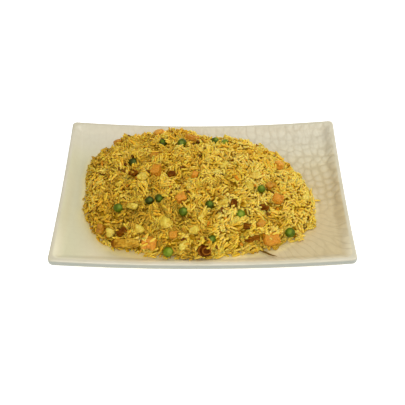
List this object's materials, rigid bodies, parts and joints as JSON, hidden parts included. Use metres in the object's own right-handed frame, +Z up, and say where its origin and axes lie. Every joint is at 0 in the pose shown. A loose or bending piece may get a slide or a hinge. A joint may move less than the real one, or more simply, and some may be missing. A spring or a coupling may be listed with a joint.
{
  "type": "fried rice plate",
  "caption": "Rectangular glazed stoneware plate heaped with fried rice, with peas, diced carrot, scrambled egg and browned meat lying in its surface.",
  "frame": {"origin": "on the table under the middle of the plate, at the underside of its foot ring", "axes": "+X along the plate's long side, -Y to its front, +Z up"},
  "size_m": [0.26, 0.184, 0.0482],
  "materials": {
    "glazed_stoneware": "glossy cream glaze with a fine crackled relief in the well",
    "rice": "oily golden grains, matte plastic standing in for cooked food",
    "pea": "satin skin, matte plastic standing in for cooked food",
    "carrot": "moist cut faces, matte plastic standing in for cooked food",
    "egg": "soft and fluffy, matte plastic standing in for cooked food",
    "meat": "browned and moist, matte plastic standing in for cooked food"
  },
  "bodies": {
    "root": {"plate": "glazed_stoneware", "rice_heap": "rice", "loose_grain": "rice", "pea_1": "pea", "pea_2": "pea", "pea_3": "pea", "pea_4": "pea", "pea_5": "pea", "pea_6": "pea", "pea_7": "pea", "pea_8": "pea", "pea_9": "pea", "pea_10": "pea", "pea_11": "pea", "pea_12": "pea", "pea_13": "pea", "pea_14": "pea", "pea_15": "pea", "carrot_1": "carrot", "carrot_2": "carrot", "carrot_3": "carrot", "carrot_4": "carrot", "carrot_5": "carrot", "carrot_6": "carrot", "carrot_7": "carrot", "carrot_8": "carrot", "carrot_9": "carrot", "carrot_10": "carrot", "carrot_11": "carrot", "carrot_12": "carrot", "carrot_13": "carrot", "carrot_14": "carrot", "carrot_15": "carrot", "egg_1": "egg", "egg_2": "egg", "egg_3": "egg", "egg_4": "egg", "egg_5": "egg", "egg_6": "egg", "egg_7": "egg", "egg_8": "egg", "egg_9": "egg", "egg_10": "egg", "egg_11": "egg", "egg_12": "egg", "egg_13": "egg", "egg_14": "egg", "meat_1": "meat", "meat_2": "meat", "meat_3": "meat", "meat_4": "meat", "meat_5": "meat", "meat_6": "meat", "meat_7": "meat", "meat_8": "meat", "meat_9": "meat", "loose_sliver": "meat"}
  },
  "joints": []
}
